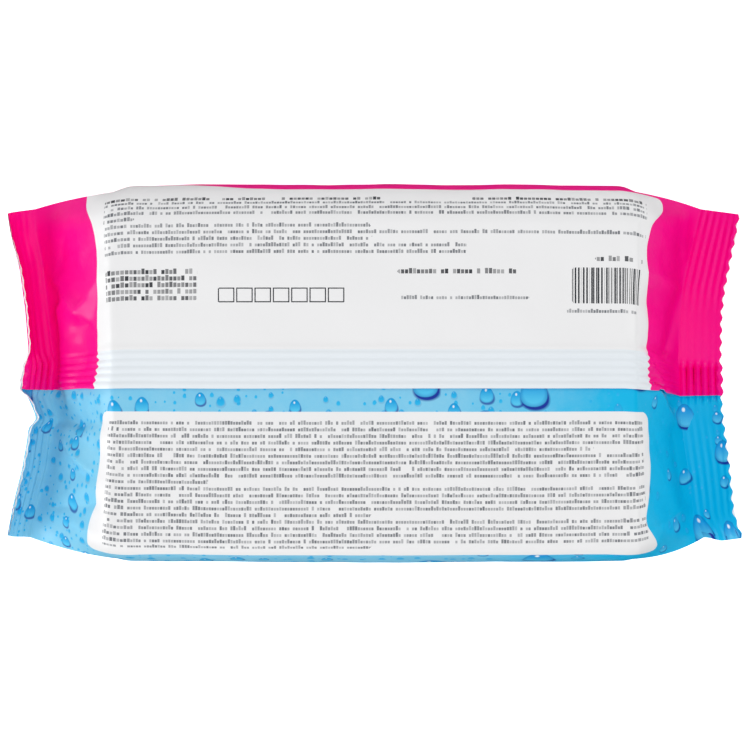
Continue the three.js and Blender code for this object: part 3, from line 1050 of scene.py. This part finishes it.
@dataclass(frozen=True)
class DashRows:
    """Rows of plain dashes that stand in for print.

    Attributes:
        field_name: The field that the rows fill.
        letter: Length of the shortest dash, in millimetres.
        base: Where the dashes' feet are, as a share of a row's height.
        top: Where most of their tops are.
        tallest: Where the tallest tops are.
        ink: Hex colour of the dashes.
    """

    field_name: str
    letter: float
    base: float
    top: float
    tallest: float
    ink: str


@dataclass(frozen=True)
class PrintedFilm:
    """Oriented polypropylene film, reverse printed: glossy, with flat saturated inks.

    Lengths are millimetres, and a drop's own sizes are shares of its radius.
    """

    name: str = "printed_polypropylene_film"
    pink: str = "#FF0091"
    deep_pink: str = "#FA0089"
    white: str = "#EEEEEF"
    fin_white: str = "#E8EEF3"
    blue: str = "#00B8EA"
    pale_blue: str = "#86CDEC"
    drop_rim: str = "#12329A"
    drop_edge: str = "#0A7AC0"
    dark_ink: str = "#33363C"
    cut_white: str = "#FBFBFC"
    roughness: float = 0.3
    ior: float = 1.49
    specular: float = 0.3
    coat_weight: float = 0.03
    coat_roughness: float = 0.12
    broad_wave: float = 6.0
    fine_wave: float = 1.4
    fine_share: float = 0.18
    wave_height: float = 0.6
    wave_strength: float = 0.12
    pink_patch: float = 40.0
    blue_cloud: float = 9.0
    cloud_strength: float = 0.7
    fade_places: tuple[float, float] = (20.0, 85.0)
    fade_tones: tuple[float, float] = (0.55, -0.6)
    drop_places: tuple[float, float] = (-80.0, 90.0)
    drop_scatter: float = 0.75
    largest_drop: float = 0.29
    drop_lean: float = 0.9
    drop_flatness: float = 0.82
    drop_heights: tuple[float, float] = (-0.9, 0.5)
    first_shift: float = 5.0
    next_shift: float = 7.0
    soft_edge: float = 0.6
    sharp_edge: float = 0.94
    shade_middle: tuple[float, float, float] = (0.08, -0.24, 0.0)
    shade_edge: tuple[float, float] = (0.88, 1.04)
    glint_middle: tuple[float, float, float] = (-0.12, 0.5, 0.0)
    glint_edge: tuple[float, float] = (0.1, 0.22)
    rim_start: float = 0.72
    rim_strength: float = 0.7
    missing_dashes: float = 0.14
    dash_gap: float = 0.2
    tall_dashes: float = 0.6
    dash_tones: tuple[float, float] = (0.5, 0.98)
    half_line: float = 0.17
    frame_half_width: float = 0.42
    stripes_per_mm: float = 2.1
    drop_sizes: tuple[DropSize, ...] = (
        DropSize(2.6, 0.45, 0.1, 0.1, 0.0, "#1FB2EA", "#35BCEE"),
        DropSize(5.2, 0.5, 0.15, 0.14, 0.15, "#12A8E4", "#2CBAEE"),
        DropSize(9.0, 0.45, 0.25, 0.16, 0.8, "#06A0E0", "#5CCFF4"),
        DropSize(15.5, 0.1, 0.6, 0.2, 1.0, "#049CE0", "#58CCF2"),
    )
    dashes: tuple[DashRows, ...] = (
        DashRows("fine_mm", 0.78, 0.2, 0.62, 0.86, "#6E7278"),
        DashRows("bold_mm", 1.15, 0.1, 0.72, 0.98, "#33363C"),
    )


class FilmShader(NodeGraph):
    """The film's material, which reads the film's own sheet coordinates and fields."""

    def __init__(self, finish: PrintedFilm) -> None:
        """Starts the material from the place on the sheet, in millimetres."""
        super().__init__(finish.name)
        self.finish = finish
        metres = self.add("UVMap", uv_map="sheet")
        self.sheet = self.add("VectorMath:SCALE", metres, in_scale=1 / MM)
        self.parts = self.add("SeparateXYZ", self.sheet)

    def build(self) -> bpy.types.Material:
        """Lays the inks over one another and returns the material."""
        look = self.finish
        film = self.with_white_panels(self.film_colour())
        cut = self.add("Attribute", attribute_name="cut_edge").outputs["Fac"]
        film = self.add("Mix:RGBA", cut, film, look.cut_white)
        shader = self.add(
            "BsdfPrincipled", film, in_roughness=look.roughness, in_ior=look.ior,
            in_specular_ior_level=look.specular, in_coat_weight=look.coat_weight,
            in_coat_roughness=look.coat_roughness, in_normal=self.waviness(),
        )
        self.add("OutputMaterial", shader)
        return self.material

    def waviness(self) -> Node:
        """Adds the film's faint waviness, one broad and one fine."""
        look = self.finish
        broad = self.add("TexNoise", self.sheet, in_scale=1 / look.broad_wave, in_detail=2.0)
        fine = self.add("TexNoise", self.sheet, in_scale=1 / look.fine_wave, in_detail=1.0)
        both = self.add("Math:MULTIPLY_ADD", fine, look.fine_share, broad)
        return self.add(
            "Bump", in_strength=look.wave_strength, in_distance=look.wave_height * MM,
            in_height=both,
        )

    def inside(self, field_name: str) -> Node:
        """Gives 1 inside a printed field and 0 outside it."""
        field_mm = self.add("Attribute", attribute_name=field_name)
        return self.add("Math:GREATER_THAN", field_mm.outputs["Fac"], 0.0)

    def film_colour(self) -> Node:
        """Adds the pink half and the wet blue half of the film."""
        look = self.finish
        patches = self.add("TexNoise", self.sheet, in_scale=1 / look.pink_patch, in_detail=1.0)
        pink = self.add("Mix:RGBA", patches, look.pink, look.deep_pink)
        is_pink = self.inside("pink_mm")
        return self.add("Mix:RGBA", is_pink, self.wet_blue(), pink)

    def wet_blue(self) -> Node:
        """Adds a mottled blue ground, paler to the left, with water drops scattered over it."""
        look = self.finish
        cloud = self.add(
            "TexNoise", self.sheet, in_scale=1 / look.blue_cloud, in_detail=6.0,
            in_roughness=0.75,
        )
        fade = self.add("MapRange", self.parts, *look.fade_places, *look.fade_tones)
        tone = self.add("Math:MULTIPLY_ADD", cloud, look.cloud_strength, fade, use_clamp=True)
        ground = self.add("Mix:RGBA", tone, look.blue, look.pale_blue)
        for number, size in enumerate(look.drop_sizes):
            ground = self.with_drops(ground, size, look.first_shift + look.next_shift * number)
        return ground

    def drop_place(self, size: DropSize, shift: float) -> Node:
        """Scatters drops of one size over the sheet.

        Args:
            size: The size of the drops.
            shift: Moves the pattern, so that sizes don't line up.

        Returns:
            The place in the nearest drop, whose edge is 1 from its middle.
        """
        look = self.finish
        moved = self.add("VectorMath:ADD", self.sheet, (shift, 2 * shift, 0))
        cells = self.add(
            "TexVoronoi", moved, in_scale=1 / size.spacing, in_randomness=look.drop_scatter,
            voronoi_dimensions="2D",
        )
        offset = self.add("VectorMath:SUBTRACT", moved, cells.outputs["Position"])
        random = self.add("SeparateColor", cells.outputs["Color"])
        bare_shares = (1 - size.left_share, 1 - size.right_share)
        bare = self.add("MapRange", self.parts, *look.drop_places, *bare_shares)
        radii = (size.smallest * size.spacing, look.largest_drop * size.spacing)
        radius = self.add("MapRange", random, bare, 1.0, *radii)
        held = self.add("Math:GREATER_THAN", random, bare)
        shrink = self.add("Math:DIVIDE", held, radius)
        gone = self.add("Math:SUBTRACT", 1.0, held)
        parts = self.add("SeparateXYZ", offset)
        height = parts.outputs["Y"]
        lean = look.drop_lean / size.spacing
        widening = self.add("Math:MULTIPLY_ADD", height, lean, 1.0)
        wide = self.add("Math:MULTIPLY", parts, widening)
        tall = self.add("Math:MULTIPLY", height, look.drop_flatness)
        bead = self.add("CombineXYZ", wide, tall)
        unit = self.add("VectorMath:SCALE", bead, in_scale=shrink)
        far = self.add("VectorMath:SCALE", (9, 9, 0), in_scale=gone)
        return self.add("VectorMath:ADD", unit, far)

    def with_drops(self, ground: Node, size: DropSize, shift: float) -> Node:
        """Lays drops of one size over a ground colour.

        Args:
            ground: The colour under the drops.
            size: The size of the drops.
            shift: Moves the pattern, so that sizes don't line up.

        Returns:
            The colour with the drops on it.
        """
        look = self.finish
        place = self.drop_place(size, shift)
        inner, below, glint = (
            self.add("VectorMath:DISTANCE", place, middle).outputs["Value"]
            for middle in ((0, 0, 0), look.shade_middle, look.glint_middle)
        )
        height = self.add("SeparateXYZ", place).outputs["Y"]
        rise = self.add("MapRange", height, *look.drop_heights)
        colour = self.add("Mix:RGBA", rise, size.bottom, size.top)
        rim_strength = look.rim_strength * size.relief
        rim = self.add("MapRange", inner, look.rim_start, 1.0, 0.0, rim_strength)
        bright = self.add("MapRange", glint, *look.glint_edge, size.relief, 0.0)
        for share, tint in ((rim, look.drop_edge), (bright, look.cut_white)):
            colour = self.add("Mix:RGBA", share, colour, tint)
        shade = self.add("MapRange", below, *look.shade_edge, size.relief, 0.0)
        shaded = self.add("Mix:RGBA", shade, ground, look.drop_rim)
        soft_edge = lerp(look.soft_edge, look.sharp_edge, size.relief)
        body = self.add("MapRange", inner, soft_edge, 1.0, 1.0, 0.0)
        return self.add("Mix:RGBA", body, shaded, colour)

    def with_white_panels(self, ground: Node) -> Node:
        """Lays the white panels and their rows of plain dashes over the film's colour."""
        look = self.finish
        on_fin = self.inside("fin_mm")
        printed = self.add("Mix:RGBA", on_fin, look.white, look.fin_white)
        inks = [(self.dash_rows(rows), rows.ink) for rows in look.dashes]
        inks += [(self.stripe_block(), look.dark_ink), (self.frame_lines(), look.dark_ink)]
        for share, ink in inks:
            printed = self.add("Mix:RGBA", share, printed, ink)
        panels = self.inside("white_mm")
        return self.add("Mix:RGBA", panels, ground, printed)

    def dash_rows(self, rows: DashRows) -> Node:
        """Makes rows of plain dashes inside one field of the print.

        Args:
            rows: The rows to make.

        Returns:
            How much ink there is, 0 to 1.
        """
        look = self.finish
        cell_size = (1 / rows.letter, 1 / PrintPlan.row, 1.0)
        cells = self.add("VectorMath:MULTIPLY", self.sheet, cell_size)
        number = self.add("VectorMath:FLOOR", cells)
        within = self.add("VectorMath:FRACTION", cells)
        noise = self.add("TexWhiteNoise", number, noise_dimensions="2D")
        random = self.add("SeparateColor", noise.outputs["Color"])
        parts = self.add("SeparateXYZ", within)
        top = self.add("MapRange", random, look.tall_dashes, 1.0, rows.top, rows.tallest)
        tests = (
            (noise.outputs["Value"], look.missing_dashes, "GREATER_THAN"),
            (parts.outputs["Y"], rows.base, "GREATER_THAN"),
            (parts.outputs["Y"], top, "LESS_THAN"),
            (parts.outputs["X"], look.dash_gap, "GREATER_THAN"),
        )
        ink = self.inside(rows.field_name)
        for value, limit, test in tests:
            passed = self.add("Math:" + test, value, limit)
            ink = self.add("Math:MULTIPLY", ink, passed)
        tone = self.add("MapRange", random.outputs["Green"], 0.0, 1.0, *look.dash_tones)
        return self.add("Math:MULTIPLY", ink, tone)

    def frame_lines(self) -> Node:
        """Makes a row of small plain frames, all of one size."""
        look, block = self.finish, PrintPlan.frames
        pitch = (block.right - block.left) / PrintPlan.frame_count
        half_height = (block.high - block.low) / 2
        run = self.add("Math:SUBTRACT", self.parts, block.left)
        cell = self.add("Math:FLOORED_MODULO", run, pitch)
        height = self.parts.outputs["Y"]
        sides = (
            (cell, pitch / 2, look.frame_half_width * pitch),
            (height, block.low + half_height, half_height - 2 * look.half_line),
        )
        edges = []
        for place, middle, reach in sides:
            offset = self.add("Math:SUBTRACT", place, middle)
            away = self.add("Math:ABSOLUTE", offset)
            edges.append(self.add("Math:SUBTRACT", away, reach))
        edge = self.add("Math:MAXIMUM", *edges)
        line = self.add("Math:COMPARE", edge, 0.0, look.half_line)
        return self.add("Math:MULTIPLY", line, self.inside("frames_mm"))

    def stripe_block(self) -> Node:
        """Makes a block of plain upright stripes of uneven width, about 0.5 to 1.5 mm."""
        bars = self.add(
            "TexNoise", self.parts, in_scale=self.finish.stripes_per_mm, in_detail=0.0,
            noise_dimensions="1D",
        )
        dark = self.add("Math:GREATER_THAN", bars, 0.5)
        return self.add("Math:MULTIPLY", dark, self.inside("stripes_mm"))


@dataclass
class Studio:
    """A pale table, soft lights and a camera straight above the pack, in metres."""

    camera_height: float = 0.82
    picture_width: float = 0.2228
    floor_size: float = 3.0
    floor_colour: str = "#FCFCFC"
    floor_roughness: float = 0.85
    floor_glow: float = 0.8
    floor_gap: float = 0.0002
    room_glow: float = 0.45
    camera_shift: float = -0.0005
    seal_level: float = 0.03

    def build(self) -> None:
        """Sets the stage, the lights and the camera."""
        bpy.ops.object.select_all(action="DESELECT")
        bpy.ops.mesh.primitive_plane_add(size=self.floor_size, location=(0, 0, -self.floor_gap))
        floor = bpy.context.object
        floor.name = "table"
        table = NodeGraph("matt_white_table")
        shader = table.add(
            "BsdfPrincipled", self.floor_colour, in_roughness=self.floor_roughness,
            in_emission_color=(1, 1, 1, 1), in_emission_strength=self.floor_glow,
        )
        table.add("OutputMaterial", shader)
        floor.data.materials.append(table.material)
        floor.visible_glossy = False
        overhead = self.light("overhead", (0.05, -0.1, 1.1), 0.6, 5.0)
        overhead.visible_glossy = False
        self.light("left_softbox", (-0.9, -0.3, 0.25), 0.62, 3.8)
        self.light("right_strip", (0.7, 0.5, 0.8), 0.12, 1.2)
        world = bpy.data.worlds.new("pale_room")
        world.use_nodes = True
        background = world.node_tree.nodes["Background"]
        background.inputs["Color"].default_value = (1, 1, 1, 1)
        background.inputs["Strength"].default_value = self.room_glow
        world.cycles_visibility.glossy = False
        bpy.context.scene.world = world
        bpy.context.scene.view_settings.view_transform = "Standard"
        self.camera()

    def light(
        self, name: str, place: tuple[float, float, float], size: float, power: float
    ) -> bpy.types.Object:
        """Adds one soft square light that faces the pack, and returns it."""
        bpy.ops.object.light_add(type="AREA", location=place)
        lamp = bpy.context.object
        lamp.name = name
        lamp.data.size = size
        lamp.data.energy = power
        direction = -lamp.location
        lamp.rotation_euler = direction.to_track_quat("-Z", "Y").to_euler()
        return lamp

    def camera(self) -> None:
        """Adds the camera, straight above and level with the pack's long side."""
        place = (0, self.camera_shift, self.camera_height)
        bpy.ops.object.camera_add(location=place, rotation=(0, 0, 0))
        camera = bpy.context.object
        camera.name = "overhead_camera"
        half_angle = math.atan(self.picture_width / 2 / (self.camera_height - self.seal_level))
        camera.data.angle = 2 * half_angle
        bpy.context.scene.camera = camera


def main() -> None:
    """Builds the pack's film and its studio, in that order."""
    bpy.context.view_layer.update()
    low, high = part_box(PACK_NODE)
    wrap = FilmWrap(width=(high[1] - low[1]) / MM - FILM_INSET)
    film = wrap.build()
    film.data.materials.clear()
    film.data.materials.append(FilmShader(PrintedFilm()).build())
    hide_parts(PACK_NODE)
    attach(film, "root")
    log.info("film wrap done")
    Studio().build()
    log.info("studio done")


if __name__ == "__main__":
    main()
